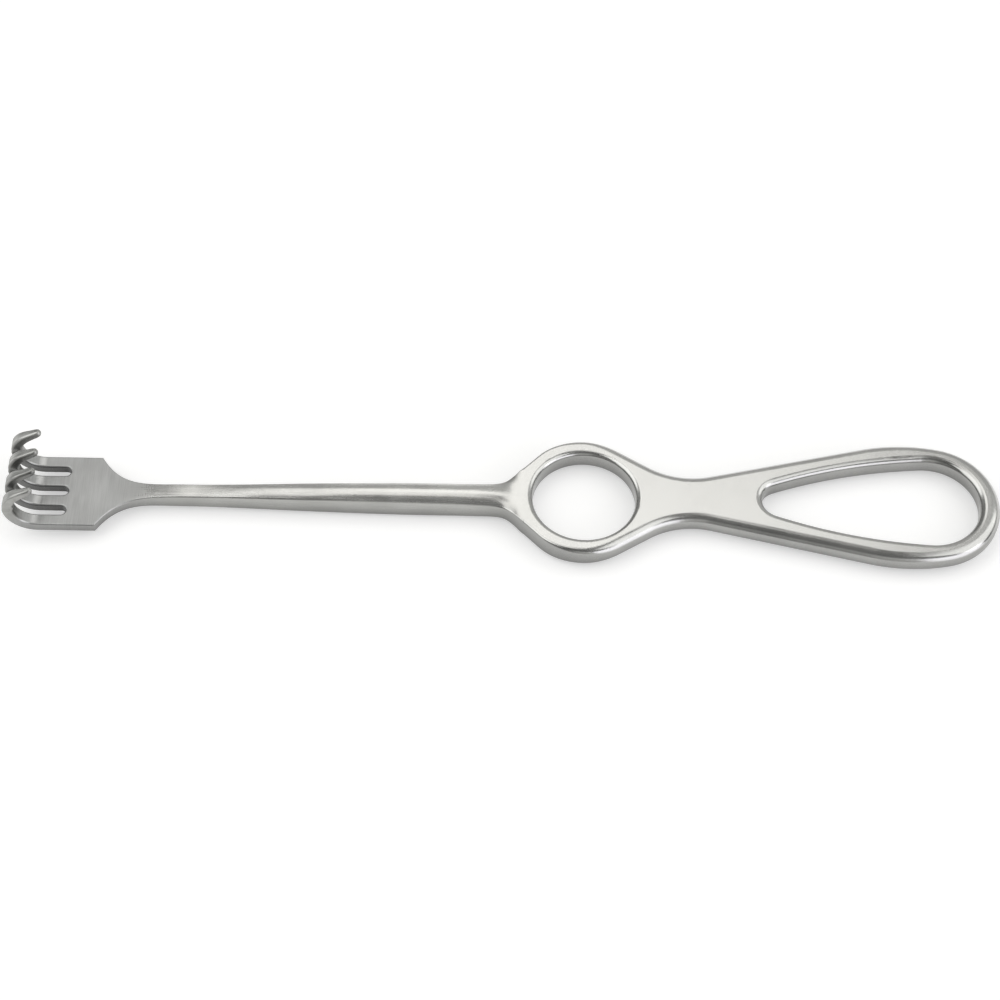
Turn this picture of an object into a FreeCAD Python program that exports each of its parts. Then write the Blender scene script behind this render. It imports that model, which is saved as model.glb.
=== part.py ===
import FreeCAD, Part
import math
import os

os.makedirs("parts", exist_ok=True)

# Rake retractor for surgery: one stainless steel forging, 219 mm long. All sizes are millimetres.
# The origin is the centre of the finger ring, on its mid plane. +X runs to the grip loop, +Z is
# the side that the hooks point to, and the two sides of the plane Y = 0 mirror each other.
# The forging is one piece of metal. Its zones are separate solids that meet at plane sections.

V = FreeCAD.Vector
ORIGIN = V(0, 0, 0)
Y_AXIS = V(0, 1, 0)
Z_AXIS = V(0, 0, 1)
GAP = 1e-4
REACH = 150.0

# Handle: finger ring, bridge and grip loop, one flat forging. The ring's outer arc touches the
# line of the bridge, RING_R from the bore's axis, and the line of the web, WEB_REACH from it.
HANDLE_T = 5.0
RING_R = 15.4
RING_ARC_R = 14.34
RING_BORE_R = 11.4
RING_RIM_R = 1.4
RING_BORE_RIM_R = 1.25
HANDLE_RIM_R = 2.2
WEB_X = -13.4
WEB_ANGLE = 136.4
WEB_REACH = 14.85
WEB_RIM_R = 0.55
BRIDGE_ANGLE = 57.7
WAIST_X = 24.1
WAIST_R = 17.3
ARM_ANGLE = 13.45
ARM_SWELL_R = 41.0
BOW_X = 76.75
BOW_R = 15.48
BOW_BLEND_ANGLE = 78.8

# Opening of the grip loop
OPENING_RIM_R = 1.5
NOSE_X = 43.8
NOSE_R = 4.3
OPENING_SIDE_R = 116.0
OPENING_BOW_X = 76.5
OPENING_BOW_R = 11.2

# Where the handle's zones meet
RING_END_X = 15.0
BRIDGE_END_X = 44.0

# Rake plate: three slots leave four tines of the same width
PRONG_COUNT = 4
PRONG_PITCH = 5.25
SLOT_W = 2.35
SLOT_END_X = -114.1
PLATE_END_X = -107.4
PLATE_T = 2.3
PLATE_EDGE_R = 0.4
PLATE_HALF_W = (PRONG_COUNT * PRONG_PITCH - SLOT_W) / 2
PRONG_ROOT_X = SLOT_END_X - SLOT_W / 2
PRONG_W = PRONG_PITCH - SLOT_W

# Hooks: a wide quarter turn, a tighter bend that runs back, and a straight blunt tip
HOOK_START_X = -119.8
HOOK_R = 5.85
HOOK_BACK_R = 4.8
HOOK_TURN = 152.4
HOOK_STRAIGHT = 3.9
TIP_W = 1.45
TIP_T = 1.4
TIP_EDGE_R = 0.6
TIP_ROUND = 0.6
TAPER_POWER = 1.33
BACK_STEPS = 4
TIP_STEPS = 4

# Neck: the half width falls from the plate to the shank by this power of the distance left
NECK_END_X = -92.0
SHOULDER_END_X = -87.5
SHOULDER_POWER = 4.4
SHOULDER_STEPS = 10
SHOULDER_SPACING = 1.3

# Shank: a bar with crowned top and underside, whose four creases run out along the web.
# Place along X, half width and height of the crease, height of the crown
CREASE_R = 0.3
SIDE_SWELL = 0.08
SHANK_STATIONS = (
    (-85.0, 1.82, 1.80, 1.92),
    (-79.0, 1.90, 1.88, 2.18),
    (-74.0, 2.03, 1.94, 2.43),
    (-63.0, 2.32, 2.12, 2.74),
    (-54.0, 2.51, 2.23, 3.06),
    (-45.0, 2.68, 2.30, 3.25),
    (-34.0, 2.85, 2.25, 3.28),
    (-25.0, 2.99, 2.12, 3.18),
    (-20.7, 3.12, 2.00, 3.00),
    (-18.5, 3.41, 1.97, 2.80),
    (-16.8, 4.18, 2.06, 2.59),
    (-15.2, 5.57, 2.28, 2.51),
    (-14.3, 6.52, 2.42, 2.50),
)


def polar(radius, degrees):
    angle = math.radians(degrees)
    return V(radius * math.cos(angle), radius * math.sin(angle), 0)


def guide(centre_x, radius, angle):
    """A straight line of the plan, tangent to the circle (centre_x, radius) at that angle."""
    normal = polar(1, angle)
    return normal, radius + normal.x * centre_x


def meet(first, second):
    n1, d1 = first
    n2, d2 = second
    det = n1.x * n2.y - n1.y * n2.x
    return V((d1 * n2.y - d2 * n1.y) / det, (n1.x * d2 - n2.x * d1) / det, 0)


def rounded_path(start, corners, end):
    """Straight runs from start to end, with a tangent arc of the given radius at each corner."""
    points = [start] + [point for point, radius in corners] + [end]
    edges = []
    last = start
    for i, (corner, radius) in enumerate(corners):
        back = (points[i] - corner).normalize()
        on = (points[i + 2] - corner).normalize()
        half = back.getAngle(on) / 2
        reach = radius / math.tan(half)
        middle = (back + on).normalize() * (radius / math.sin(half) - radius)
        arc_in = corner + back * reach
        arc_out = corner + on * reach
        if last.distanceToPoint(arc_in) > GAP:
            edges.append(Part.LineSegment(last, arc_in).toShape())
        edges.append(Part.Arc(arc_in, corner + middle, arc_out).toShape())
        last = arc_out
    if last.distanceToPoint(end) > GAP:
        edges.append(Part.LineSegment(last, end).toShape())
    return edges


def plate_of(edges, thickness):
    """A flat solid inside the half outline and the line Y = 0, centred on Z = 0."""
    start = edges[0].valueAt(edges[0].FirstParameter)
    end = edges[-1].valueAt(edges[-1].LastParameter)
    corners = [start, V(start.x, 0, 0), V(end.x, 0, 0), end]
    for a, b in zip(corners, corners[1:]):
        if a.distanceToPoint(b) > GAP:
            edges = edges + [Part.LineSegment(a, b).toShape()]
    face = Part.Face(Part.Wire(Part.__sortEdges__(edges)))
    face.translate(V(0, 0, -thickness / 2))
    return face.extrude(V(0, 0, thickness))


def slab(x0, x1, y0=-REACH, y1=REACH):
    return Part.makeBox(x1 - x0, y1 - y0, 2 * REACH, V(x0, y0, -REACH))


def level_edges(solid, height, wanted):
    """The edges at Z = height and -height whose middle point the test accepts."""
    found = []
    for edge in solid.Edges:
        middle = edge.valueAt((edge.FirstParameter + edge.LastParameter) / 2)
        if edge.BoundBox.ZLength < GAP and abs(abs(middle.z) - height) < GAP and wanted(middle):
            found.append(edge)
    return found


def both_sides(half):
    return half.fuse(half.mirror(ORIGIN, Y_AXIS)).removeSplitter()


def section(origin, up, half_w, half_t, corner_w, corner_t):
    """A closed rounded rectangle, its width along Y, whose corners are quarter ellipses."""
    flat_w = half_w - corner_w
    flat_t = half_t - corner_t
    corners = []
    for sign_w, sign_t in ((1, 1), (-1, 1), (-1, -1), (1, -1)):
        side = origin + Y_AXIS * (sign_w * half_w) + up * (sign_t * flat_t)
        corner = origin + Y_AXIS * (sign_w * half_w) + up * (sign_t * half_t)
        cap = origin + Y_AXIS * (sign_w * flat_w) + up * (sign_t * half_t)
        poles = [side, corner, cap] if sign_w == sign_t else [cap, corner, side]
        curve = Part.BezierCurve()
        curve.setPoles(poles)
        curve.setWeight(2, math.sqrt(0.5))
        corners.append((poles[0], curve.toShape(), poles[2]))
    edges = []
    for i, (start, curve, end) in enumerate(corners):
        edges.append(curve)
        edges.append(Part.LineSegment(end, corners[(i + 1) % 4][0]).toShape())
    return Part.Wire(edges)


def crowned(x, crease_w, crease_t, crown, swell, round_w, round_t):
    """A section across X: crowned top and underside, swelling sides and four rounded creases."""
    top_w = crease_w - round_w
    top_t = crown - (crown - crease_t) * (top_w / crease_w) ** 2
    side_t = crease_t - round_t
    side_w = crease_w + swell * (1 - (side_t / crease_t) ** 2)
    slope = 2 * (crown - top_t) / top_w
    lean = 2 * (crease_w + swell - side_w) / side_t
    ridge = top_t + slope * top_w
    bulge = side_w + lean * side_t
    corner_w = (bulge - lean * ridge) / (1 - lean * slope)
    corner_t = ridge - slope * corner_w
    turns = (
        ((side_w, -side_t), (bulge, 0), (side_w, side_t)),
        ((side_w, side_t), (corner_w, corner_t), (top_w, top_t)),
        ((top_w, top_t), (0, ridge), (-top_w, top_t)),
        ((-top_w, top_t), (-corner_w, corner_t), (-side_w, side_t)),
        ((-side_w, side_t), (-bulge, 0), (-side_w, -side_t)),
        ((-side_w, -side_t), (-corner_w, -corner_t), (-top_w, -top_t)),
        ((-top_w, -top_t), (0, -ridge), (top_w, -top_t)),
        ((top_w, -top_t), (corner_w, -corner_t), (side_w, -side_t)),
    )
    edges = []
    for poles in turns:
        curve = Part.BezierCurve()
        curve.setPoles([V(x, y, z) for y, z in poles])
        edges.append(curve.toShape())
    return Part.Wire(edges)


def handle_half():
    """The half plan of ring, bridge and grip loop from the web to the end of the bow."""
    web = guide(0, WEB_REACH, WEB_ANGLE)
    bridge = guide(0, RING_R, BRIDGE_ANGLE)
    arm = guide(0, 0, 90 + ARM_ANGLE)
    blend = guide(BOW_X, BOW_R, BOW_BLEND_ANGLE)
    end = guide(BOW_X, BOW_R, 0)
    start = meet(web, guide(WEB_X, 0, 0))
    corners = [
        (meet(web, bridge), RING_ARC_R),
        (meet(bridge, arm), WAIST_R),
        (meet(arm, blend), ARM_SWELL_R),
        (meet(blend, end), BOW_R),
    ]
    return plate_of(rounded_path(start, corners, V(BOW_X + BOW_R, 0, 0)), HANDLE_T)


def opening_half():
    """The teardrop opening of the loop: nose arc, long side arc and bow arc, all tangent."""
    span = OPENING_BOW_X - NOSE_X
    nose_reach = OPENING_SIDE_R - NOSE_R
    bow_reach = OPENING_SIDE_R - OPENING_BOW_R
    side_x = NOSE_X + (nose_reach**2 - bow_reach**2 + span**2) / (2 * span)
    side_y = -math.sqrt(nose_reach**2 - (side_x - NOSE_X) ** 2)
    nose_angle = math.degrees(math.atan2(-side_y, NOSE_X - side_x))
    bow_angle = math.degrees(math.atan2(-side_y, OPENING_BOW_X - side_x))
    arcs = (
        (NOSE_X, 0, NOSE_R, 180, nose_angle),
        (side_x, side_y, OPENING_SIDE_R, nose_angle, bow_angle),
        (OPENING_BOW_X, 0, OPENING_BOW_R, bow_angle, 0),
    )
    edges = []
    for x, y, radius, first, last in arcs:
        points = [V(x, y, 0) + polar(radius, a) for a in (first, (first + last) / 2, last)]
        edges.append(Part.Arc(*points).toShape())
    return plate_of(edges, 2 * HANDLE_T)


def rimmed(x0, x1, start_r, end_r):
    """Half of the handle between two planes, its outer rims rounded from start_r to end_r."""
    solid = handle_half().common(slab(x0, x1))

    def on_rim(p):
        return p.y > GAP and x0 + GAP < p.x < x1 - GAP

    return solid.makeFillet(start_r, end_r, level_edges(solid, HANDLE_T / 2, on_rim))


def make_ring_half():
    """Ring with its web and the near half of the bridge, up to the waist."""
    bore = Part.makeCylinder(RING_BORE_R, 2 * HANDLE_T, V(0, 0, -HANDLE_T))
    web = guide(0, WEB_REACH - RING_ARC_R, WEB_ANGLE)
    crest_x = meet(web, guide(0, RING_R - RING_ARC_R, BRIDGE_ANGLE)).x
    front = rimmed(WEB_X, crest_x, WEB_RIM_R, RING_RIM_R)
    back = rimmed(crest_x, WAIST_X, RING_RIM_R, HANDLE_RIM_R)
    ring = both_sides(front.fuse(back)).cut(bore)

    def on_bore(p):
        return abs(math.hypot(p.x, p.y) - RING_BORE_R) < GAP

    return ring.makeFillet(RING_BORE_RIM_R, level_edges(ring, HANDLE_T / 2, on_bore))


def make_loop_half():
    """Grip loop from the waist to the end of the bow, with its teardrop opening."""
    opening = both_sides(opening_half())
    loop = both_sides(rimmed(WAIST_X, BOW_X + BOW_R, HANDLE_RIM_R, HANDLE_RIM_R)).cut(opening)

    def on_opening(p):
        return opening.distToShape(Part.Vertex(p))[0] < GAP

    return loop.makeFillet(OPENING_RIM_R, level_edges(loop, HANDLE_T / 2, on_opening))


def make_stem():
    """Neck and shank in one loft, from the plate's section to the section of the web."""
    shoulder_w, shoulder_t, shoulder_crown = SHANK_STATIONS[0][1:]
    sections = []
    for i in range(SHOULDER_STEPS):
        t = (i / SHOULDER_STEPS) ** SHOULDER_SPACING
        ease = t * t * (3 - 2 * t)
        x = PLATE_END_X + (SHOULDER_END_X - PLATE_END_X) * t
        half_w = shoulder_w + (PLATE_HALF_W - shoulder_w) * (1 - t) ** SHOULDER_POWER
        half_t = PLATE_T / 2 + (shoulder_t - PLATE_T / 2) * ease
        crown = half_t + (shoulder_crown - shoulder_t) * ease
        corner = PLATE_EDGE_R + (CREASE_R - PLATE_EDGE_R) * ease
        sections.append(crowned(x, half_w, half_t, crown, SIDE_SWELL * ease, corner, corner))
    for x, crease_w, crease_t, crown in SHANK_STATIONS:
        sections.append(crowned(x, crease_w, crease_t, crown, SIDE_SWELL, CREASE_R, CREASE_R))
    web_w = meet(guide(0, WEB_REACH, WEB_ANGLE), guide(WEB_X, 0, 0)).y
    rim_w = WEB_RIM_R / math.sin(math.radians(WEB_ANGLE))
    web_t = HANDLE_T / 2
    sections.append(crowned(WEB_X, web_w, web_t, web_t, 0, rim_w, WEB_RIM_R))
    return Part.makeLoft(sections, True, False)


def prong_y(i):
    return (i - (PRONG_COUNT - 1) / 2) * PRONG_PITCH


def make_plate():
    """The flat plate with its slots, its edges rounded, up to the roots of the prongs."""
    length = 2 * (PLATE_END_X - SLOT_END_X)
    start_x = PLATE_END_X - length
    corner = V(start_x, -PLATE_HALF_W, -PLATE_T / 2)
    plate = Part.makeBox(length, 2 * PLATE_HALF_W, PLATE_T, corner)
    for i in range(PRONG_COUNT - 1):
        y = prong_y(i) + PRONG_PITCH / 2
        side = V(PRONG_ROOT_X - length, y - SLOT_W / 2, -PLATE_T)
        plate = plate.cut(Part.makeBox(length, SLOT_W, 2 * PLATE_T, side))
        plate = plate.cut(Part.makeCylinder(SLOT_W / 2, 2 * PLATE_T, V(PRONG_ROOT_X, y, -PLATE_T)))

    def on_side(p):
        return start_x + GAP < p.x < PLATE_END_X - GAP

    plate = plate.makeFillet(PLATE_EDGE_R, level_edges(plate, PLATE_T / 2, on_side))
    return plate.common(slab(PRONG_ROOT_X, PLATE_END_X))


def on_back(degrees):
    """Point and heading of a hook's centre line in the tighter bend, after that much turn."""
    angle = math.radians(degrees)
    centre = V(HOOK_START_X - HOOK_R + HOOK_BACK_R, 0, HOOK_R)
    heading = V(-math.cos(angle), 0, math.sin(angle))
    return centre + V(-math.sin(angle), 0, -math.cos(angle)) * HOOK_BACK_R, heading


def back_stops():
    """Stops from the quarter turn to the tip: centre, heading, width, thickness and rounding."""
    bend_length = HOOK_BACK_R * math.radians(HOOK_TURN - 90)
    length = bend_length + HOOK_STRAIGHT
    tip, heading = on_back(HOOK_TURN)
    flat_end = HOOK_STRAIGHT - TIP_ROUND
    places = [(on_back(90 + (HOOK_TURN - 90) * k / BACK_STEPS), bend_length * k / BACK_STEPS, 1)
              for k in range(BACK_STEPS + 1)]
    places.append(((tip + heading * (flat_end / 2), heading), bend_length + flat_end / 2, 1))
    for k in range(TIP_STEPS):
        angle = math.radians(90 * k / TIP_STEPS)
        ahead = flat_end + TIP_ROUND * math.sin(angle)
        places.append(((tip + heading * ahead, heading), bend_length + ahead, math.cos(angle)))
    stops = []
    for (point, direction), run, scale in places:
        taper = (run / length) ** TAPER_POWER
        width = PRONG_W + (TIP_W - PRONG_W) * taper
        thickness = PLATE_T + (TIP_T - PLATE_T) * taper
        edge = PLATE_EDGE_R + (TIP_EDGE_R - PLATE_EDGE_R) * run / length
        stops.append((point, direction, scale * width, scale * thickness, scale * edge))
    return stops


def make_prong(i):
    """A straight tine, its quarter turn, and the tapering loft that runs back to the tip."""
    side = Y_AXIS * prong_y(i)
    root = V(PRONG_ROOT_X, 0, 0) + side
    edge = PLATE_EDGE_R
    profile = Part.Face(section(root, Z_AXIS, PRONG_W / 2, PLATE_T / 2, edge, edge))
    run = V(HOOK_START_X - PRONG_ROOT_X, 0, 0)
    tine = profile.extrude(run)
    profile.translate(run)
    turn = profile.revolve(V(HOOK_START_X, 0, HOOK_R), Y_AXIS, 90)
    sections = []
    for point, heading, width, thickness, corner in back_stops():
        up = Y_AXIS.cross(heading)
        sections.append(section(point + side, up, width / 2, thickness / 2, corner, corner))
    return tine.fuse([turn, Part.makeLoft(sections, True, False)]).removeSplitter()


def make_nodes():
    ring = make_ring_half()
    loop = make_loop_half()
    stem = make_stem()
    bridge = ring.common(slab(RING_END_X, WAIST_X)).fuse(loop.common(slab(WAIST_X, BRIDGE_END_X)))
    nodes = {
        "rake_plate": make_plate(),
        "neck": stem.common(slab(-REACH, NECK_END_X)),
        "shank": stem.common(slab(NECK_END_X, REACH)),
        "finger_ring": ring.common(slab(WEB_X, RING_END_X)),
        "bridge": bridge.removeSplitter(),
        "grip_arm_left": loop.common(slab(BRIDGE_END_X, BOW_X, 0, REACH)),
        "grip_arm_right": loop.common(slab(BRIDGE_END_X, BOW_X, -REACH, 0)),
        "grip_bow": loop.common(slab(BOW_X, REACH)),
    }
    for i in range(PRONG_COUNT):
        nodes["prong_%d" % (i + 1)] = make_prong(i)
    return nodes


for name, shape in make_nodes().items():
    print(name, "valid" if shape.isValid() else "NOT VALID", len(shape.Solids), "solid")
    shape.exportStep("parts/%s.step" % name)
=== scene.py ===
import math

import bpy
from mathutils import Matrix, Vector


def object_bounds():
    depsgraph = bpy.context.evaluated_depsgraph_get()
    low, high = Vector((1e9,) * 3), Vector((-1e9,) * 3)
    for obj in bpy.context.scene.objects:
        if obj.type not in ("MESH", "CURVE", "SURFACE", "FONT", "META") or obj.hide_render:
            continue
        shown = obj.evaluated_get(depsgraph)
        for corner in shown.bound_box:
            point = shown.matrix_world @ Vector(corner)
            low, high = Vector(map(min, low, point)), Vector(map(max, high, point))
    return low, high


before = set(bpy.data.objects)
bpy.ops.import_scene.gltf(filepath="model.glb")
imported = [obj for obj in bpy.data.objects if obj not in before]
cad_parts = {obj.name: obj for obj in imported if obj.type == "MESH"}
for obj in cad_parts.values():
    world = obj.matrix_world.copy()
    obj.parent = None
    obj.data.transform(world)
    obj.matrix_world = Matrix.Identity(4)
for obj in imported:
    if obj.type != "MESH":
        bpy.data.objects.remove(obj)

# Rake retractor, one satin steel forging, lying on a white table with its hooks up.
# Lengths are metres in the row frame: the finger ring's centre is the origin, +X runs to the loop.

CAD_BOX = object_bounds()
FLOOR_Z = CAD_BOX[0].z

# Camera, fitted to the outline of the ring, the loop and the plate
CAMERA_PLACE = (-0.02151, -0.29024, 0.40509)
CAMERA_TURN = (35.631, -0.334, 0.921)
CAMERA_LENS = 80.9
SENSOR = 36.0

# Three overhead softboxes side by side: the X and Y of their edges
TOP_HEIGHT = 0.80
TOP_BOXES = {
    "softbox_top_shank": ((-0.245, 0.045), (0.00, 0.84)),
    "softbox_top_bridge": ((0.045, 0.160), (0.32, 0.66)),
    "softbox_top_loop": ((0.160, 0.262), (0.43, 0.66)),
}
TOP_RADIANCE = 0.80
TOP_COLOUR = (1.0, 0.985, 0.955)

# Power over area that gives an area lamp a radiance of 1
LAMP_POWER = 4.0

# Low softbox in front on the right
SIDE_AZIMUTH = 50.0
SIDE_DISTANCE = 0.95
SIDE_WIDTH = 1.05
SIDE_HEIGHT = 0.72
SIDE_RADIANCE = 1.05
SIDE_COLOUR = (0.95, 0.94, 1.0)

# Two fill boxes, high on the left and on the right
FILL_DISTANCE = 1.0
FILL_ELEVATION = 45.0
FILL_SIZE = 1.0
FILL_RADIANCE = {"left": 1.10, "right": 0.85}
FILL_COLOUR = (1.0, 1.0, 0.98)

# Room round the table: its levels, and the angles over the table where the dim ceiling starts and ends
ROOM_COLOUR = (1.0, 1.0, 0.97, 1.0)
ROOM_LOW_FRONT = 0.55
ROOM_CEILING = 0.16
ROOM_BACK = 0.46
ROOM_LEFT = 0.48
CEILING_START = (0.50, 0.80)
CEILING_END = (1.95, 2.15)
LEFT_EDGE = (-0.24, -0.10)

FLOOR_SIZE = 30.0
FLOOR_COLOUR = (0.72, 0.72, 0.72, 1.0)
FLOOR_GLOW = 0.48

# Where one finish runs out into the next, along X and, on the hooks, up Z
BLADE_END = (-0.106, -0.090)
HANDLE_START = (-0.022, -0.008)
HOOK_END_X = (-0.117, -0.114)
HOOK_START_Z = (0.0018, 0.0042)

# Noise scales per metre: a brush line runs where its scale is small
LINES_ACROSS = (4500.0, 150.0, 150.0)
LINES_ALONG = (50.0, 5000.0, 5000.0)
LINES_HOOK = (60.0, 1600.0, 60.0)
GRAIN = (3500.0, 4500.0, 4500.0)
CLOUD = 90.0
LINE_DETAIL = 4.0
LINE_FALLOFF = 0.6
CLOUD_DETAIL = 3.0

# The part of the noise that counts, and the range of brush lines and clouds added up
NOISE_SPAN = (0.3, 0.7)
WEAR_SPAN = (0.0, 2.0)

# Steel tones of flats, and darker tones of flanks, which are painted shade. The hooks take a share of
# a darker skin, and the painted flank shade turns into the flat tone over this span of the normal's Z.
HANDLE_FLAT = (0.655, 0.655, 0.645, 1.0)
HANDLE_FLANK_PAINTED_SHADE = (0.37, 0.37, 0.36, 1.0)
SHANK_FLAT = (0.72, 0.72, 0.705, 1.0)
SHANK_FLANK_PAINTED_SHADE = (0.42, 0.42, 0.405, 1.0)
BLADE_FLAT = (0.55, 0.555, 0.555, 1.0)
BLADE_FLANK_PAINTED_SHADE = (0.33, 0.33, 0.325, 1.0)
HOOK_SKIN = (0.20, 0.20, 0.195, 1.0)
HOOK_SHARE = 0.35
FLANK_SHADE_TO_FLAT = (0.30, 0.92)

# How the brush lines change the tone, in their troughs and on their crests
TROUGH = (0.90, 0.90, 0.90, 1.0)
CREST = (1.08, 1.08, 1.08, 1.0)
HOOK_TROUGH = (0.52, 0.52, 0.51, 1.0)
HOOK_CREST = (1.55, 1.55, 1.52, 1.0)

# Roughness of each zone, its spread with wear, and the height of the brush lines
HANDLE_ROUGH = 0.22
SHANK_ROUGH = 0.25
BLADE_ROUGH = 0.31
HOOK_ROUGH = 0.38
ROUGH_SPREAD = (0.88, 1.15)
BUMP_DEPTH = 0.6e-6
BUMP_STRENGTH = 0.20

# Painted shade in narrow gaps and close to the table, from ambient occlusion in the colour
CONTACT_SHADE_REACH = 0.005
CONTACT_SHADE_POWER = 1.25
CONTACT_SHADE_SAMPLES = 8


def linked(obj):
    bpy.context.scene.collection.objects.link(obj)
    return obj


class Graph:
    """A node tree with short calls for the nodes that the materials share.

    A Mix node's sockets go by number: 0 is the factor, 2 and 3 are floats, 6 and 7 are colours.
    """

    def __init__(self, tree):
        self.tree = tree
        tree.nodes.clear()

    def node(self, kind, inputs=None, **settings):
        made = self.tree.nodes.new("ShaderNode" + kind)
        for name, value in settings.items():
            setattr(made, name, value)
        for name, value in (inputs or {}).items():
            if isinstance(value, bpy.types.NodeSocket):
                self.tree.links.new(value, made.inputs[name])
            else:
                made.inputs[name].default_value = value
        return made

    def math(self, operation, first, second=0.0):
        return self.node("Math", {0: first, 1: second}, operation=operation).outputs[0]

    def ramp(self, value, span, to_low=0.0, to_high=1.0):
        inputs = {"Value": value, "From Min": span[0], "From Max": span[1],
                  "To Min": to_low, "To Max": to_high}
        return self.node("MapRange", inputs, interpolation_type="SMOOTHSTEP").outputs[0]

    def blend(self, factor, first, second):
        return self.node("Mix", {0: factor, 2: first, 3: second}, data_type="FLOAT").outputs[0]

    def tint(self, factor, first, second, how="MIX"):
        inputs = {0: factor, 6: first, 7: second}
        return self.node("Mix", inputs, data_type="RGBA", blend_type=how).outputs[2]

    def streaks(self, place, scale):
        stretched = self.node("Mapping", {"Vector": place, "Scale": scale}).outputs[0]
        inputs = {"Vector": stretched, "Scale": 1.0, "Detail": LINE_DETAIL, "Roughness": LINE_FALLOFF}
        return self.node("TexNoise", inputs).outputs[0]

    def split(self, vector):
        return self.node("SeparateXYZ", {"Vector": vector}).outputs


class Zones:
    """How far a point belongs to the blade, the handle and the hooks, each from 0 to 1."""

    def __init__(self, g, place):
        self.g = g
        where = g.split(place)
        self.blade = g.ramp(where["X"], BLADE_END, 1.0, 0.0)
        self.handle = g.ramp(where["X"], HANDLE_START)
        past_slots = g.ramp(where["X"], HOOK_END_X, 1.0, 0.0)
        self.hook = g.math("MULTIPLY", past_slots, g.ramp(where["Z"], HOOK_START_Z))

    def pick(self, handle, shank, blade, hook):
        bar = self.g.blend(self.handle, shank, handle)
        return self.g.blend(self.hook, self.g.blend(self.blade, bar, blade), hook)


def tone_with_flank_shade(g, zones, normal):
    """Flats take the bright steel tone, flanks a darker tone that is painted shade, and the hooks are
    darker than the plate.
    """
    facing = g.math("ABSOLUTE", g.split(normal)["Z"])
    flat = g.tint(zones.blade, g.tint(zones.handle, SHANK_FLAT, HANDLE_FLAT), BLADE_FLAT)
    # Painted shade: flanks get a darker tone than flats, chosen by the normal's Z
    painted_flank_shade = g.tint(zones.blade, g.tint(zones.handle, SHANK_FLANK_PAINTED_SHADE, HANDLE_FLANK_PAINTED_SHADE), BLADE_FLANK_PAINTED_SHADE)
    tone = g.tint(g.ramp(facing, FLANK_SHADE_TO_FLAT), painted_flank_shade, flat)
    return g.tint(g.math("MULTIPLY", zones.hook, HOOK_SHARE), tone, HOOK_SKIN)


def brushed_colour_and_shade(g, zones, normal, shade):
    """The tone with its painted flank shade and the brush lines in it, and painted shade in narrow
    gaps and close to the table.
    """
    trough = g.tint(zones.hook, TROUGH, HOOK_TROUGH)
    crest = g.tint(zones.hook, CREST, HOOK_CREST)
    brushed = g.tint(1.0, tone_with_flank_shade(g, zones, normal), g.tint(shade, trough, crest), "MULTIPLY")
    # Painted shade: ambient occlusion darkens the colour in narrow gaps and close to the table
    contact_shade = g.node("AmbientOcclusion", {"Distance": CONTACT_SHADE_REACH}, samples=CONTACT_SHADE_SAMPLES)
    open_sky = g.math("POWER", contact_shade.outputs["AO"], CONTACT_SHADE_POWER)
    return g.tint(1.0, brushed, open_sky, "MULTIPLY")


def satin_steel():
    """Brushed across the blade and along the hooks and the shank, fine grained on the handle."""
    material = bpy.data.materials.new("satin_steel")
    material.use_nodes = True
    g = Graph(material.node_tree)
    coords = g.node("TexCoord").outputs
    place = coords["Object"]
    zones = Zones(g, place)

    scales = (GRAIN, LINES_ALONG, LINES_ACROSS, LINES_HOOK)
    lines = zones.pick(*[g.streaks(place, scale) for scale in scales])
    cloud = g.node("TexNoise", {"Vector": place, "Scale": CLOUD, "Detail": CLOUD_DETAIL}).outputs[0]
    wear = g.math("ADD", g.ramp(lines, NOISE_SPAN), g.ramp(cloud, NOISE_SPAN))
    shade = g.ramp(wear, WEAR_SPAN)

    colour = brushed_colour_and_shade(g, zones, coords["Normal"], shade)
    smooth = zones.pick(HANDLE_ROUGH, SHANK_ROUGH, BLADE_ROUGH, HOOK_ROUGH)
    rough = g.math("MULTIPLY", smooth, g.blend(shade, *ROUGH_SPREAD))
    relief = {"Strength": BUMP_STRENGTH, "Distance": BUMP_DEPTH, "Height": lines}
    bump = g.node("Bump", relief).outputs[0]
    inputs = {"Base Color": colour, "Metallic": 1.0, "Roughness": rough, "Normal": bump}
    skin = g.node("BsdfPrincipled", inputs)
    g.node("OutputMaterial", {"Surface": skin.outputs[0]})
    return material


def dress():
    """The forging is one piece, so all its zones take one finish, which changes along its length."""
    metal = satin_steel()
    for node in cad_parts.values():
        for slot in range(len(node.data.materials)):
            node.data.materials[slot] = metal


def white_table():
    """White to the camera and in mirror images, while its paint keeps the object's shadow."""
    material = bpy.data.materials.new("white_table")
    material.use_nodes = True
    g = Graph(material.node_tree)
    rays = g.node("LightPath").outputs
    mirrored = g.math("MAXIMUM", rays["Is Glossy Ray"], rays["Is Transmission Ray"])
    seen = g.math("MAXIMUM", rays["Is Camera Ray"], mirrored)
    paint = g.node("BsdfDiffuse", {"Color": FLOOR_COLOUR})
    glow = g.node("Emission", {"Strength": g.math("MULTIPLY", seen, FLOOR_GLOW)})
    both = g.node("AddShader", {0: paint.outputs[0], 1: glow.outputs[0]})
    g.node("OutputMaterial", {"Surface": both.outputs[0]})
    return material


def lay_floor():
    half = FLOOR_SIZE / 2
    square = ((-half, -half), (half, -half), (half, half), (-half, half))
    corners = [(x, y, FLOOR_Z) for x, y in square]
    mesh = bpy.data.meshes.new("floor")
    mesh.from_pydata(corners, [], [(0, 1, 2, 3)])
    mesh.materials.append(white_table())
    linked(bpy.data.objects.new("floor", mesh))


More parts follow.
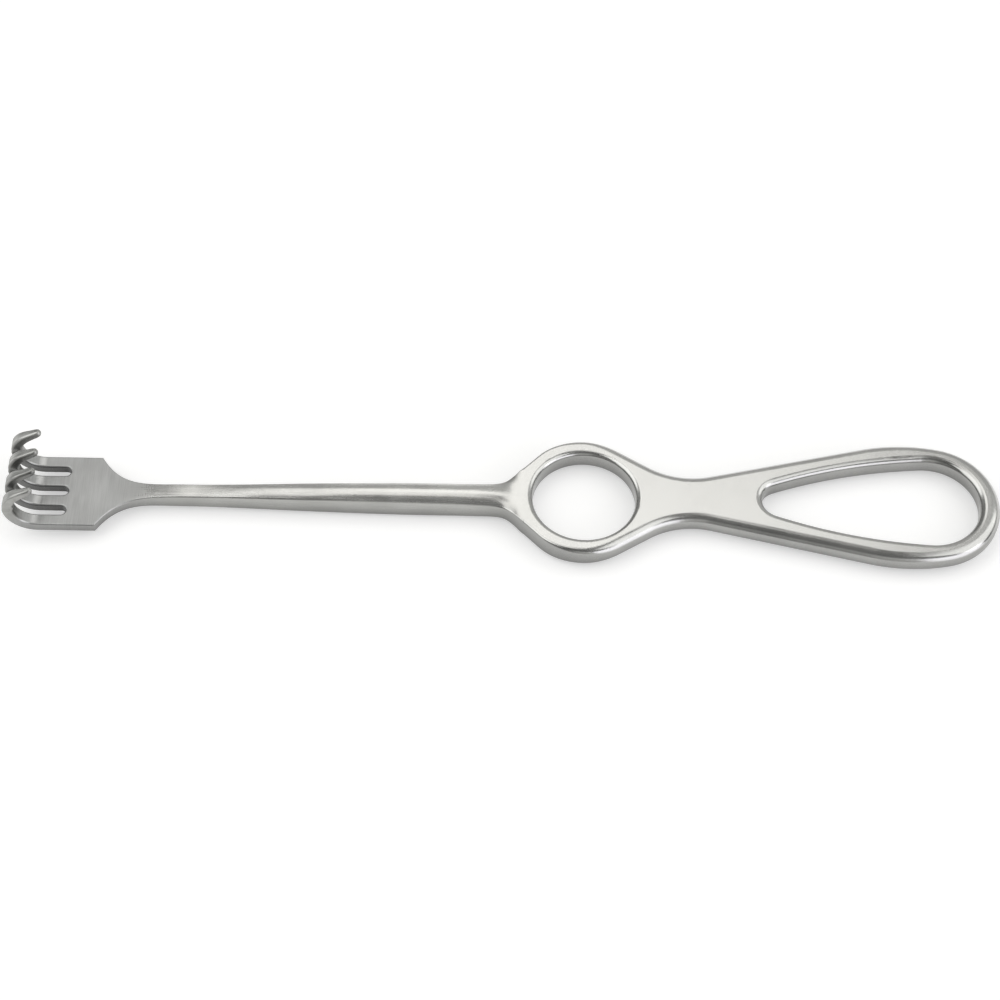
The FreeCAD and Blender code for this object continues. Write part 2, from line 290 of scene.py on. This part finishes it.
def panel(name, place, aim, width, height, radiance, colour):
    """A softbox of that radiance which hangs at place and faces aim."""
    lamp = bpy.data.lights.new(name, "AREA")
    lamp.shape = "RECTANGLE"
    lamp.size = width
    lamp.size_y = height
    lamp.energy = radiance * LAMP_POWER * width * height
    lamp.color = colour
    holder = linked(bpy.data.objects.new(name, lamp))
    holder.location = place
    holder.rotation_euler = (Vector(aim) - Vector(place)).to_track_quat("-Z", "Y").to_euler()


def hang_softboxes():
    for name, (across, along) in TOP_BOXES.items():
        middle = Vector((sum(across) / 2, sum(along) / 2, TOP_HEIGHT))
        below = middle - Vector((0, 0, TOP_HEIGHT))
        width = across[1] - across[0]
        height = along[1] - along[0]
        panel(name, middle, below, width, height, TOP_RADIANCE, TOP_COLOUR)

    azimuth = math.radians(SIDE_AZIMUTH)
    centre = SIDE_HEIGHT / 2
    side = (SIDE_DISTANCE * math.sin(azimuth), -SIDE_DISTANCE * math.cos(azimuth), centre)
    panel("softbox_side", side, (0, 0, centre), SIDE_WIDTH, SIDE_HEIGHT, SIDE_RADIANCE, SIDE_COLOUR)

    rise = math.radians(FILL_ELEVATION)
    for name, way in (("left", -1), ("right", 1)):
        place = (way * FILL_DISTANCE * math.cos(rise), 0, FILL_DISTANCE * math.sin(rise))
        radiance = FILL_RADIANCE[name]
        panel("softbox_" + name, place, (0, 0, 0), FILL_SIZE, FILL_SIZE, radiance, FILL_COLOUR)


def light_room():
    """The room is mid grey in front and at the back, and its ceiling over the table is dim."""
    world = bpy.data.worlds.new("room")
    bpy.context.scene.world = world
    world.use_nodes = True
    g = Graph(world.node_tree)
    way = g.split(g.node("TexCoord").outputs["Generated"])
    turn = g.math("ARCTAN2", way["Z"], g.math("MULTIPLY", way["Y"], -1.0))
    front = g.ramp(turn, CEILING_START, ROOM_LOW_FRONT, ROOM_CEILING)
    level = g.blend(g.ramp(turn, CEILING_END), front, ROOM_BACK)
    strength = g.math("MULTIPLY", level, g.ramp(way["X"], LEFT_EDGE, ROOM_LEFT, 1.0))
    glow = g.node("Background", {"Color": ROOM_COLOUR, "Strength": strength})
    g.node("OutputWorld", {"Surface": glow.outputs[0]})


def set_camera():
    data = bpy.data.cameras.new("camera")
    data.lens = CAMERA_LENS
    data.sensor_width = SENSOR
    camera = linked(bpy.data.objects.new("camera", data))
    camera.location = CAMERA_PLACE
    camera.rotation_mode = "ZYX"
    camera.rotation_euler = [math.radians(angle) for angle in CAMERA_TURN]
    bpy.context.scene.camera = camera


dress()
lay_floor()
hang_softboxes()
light_room()
set_camera()
bpy.context.scene.view_settings.view_transform = "Standard"
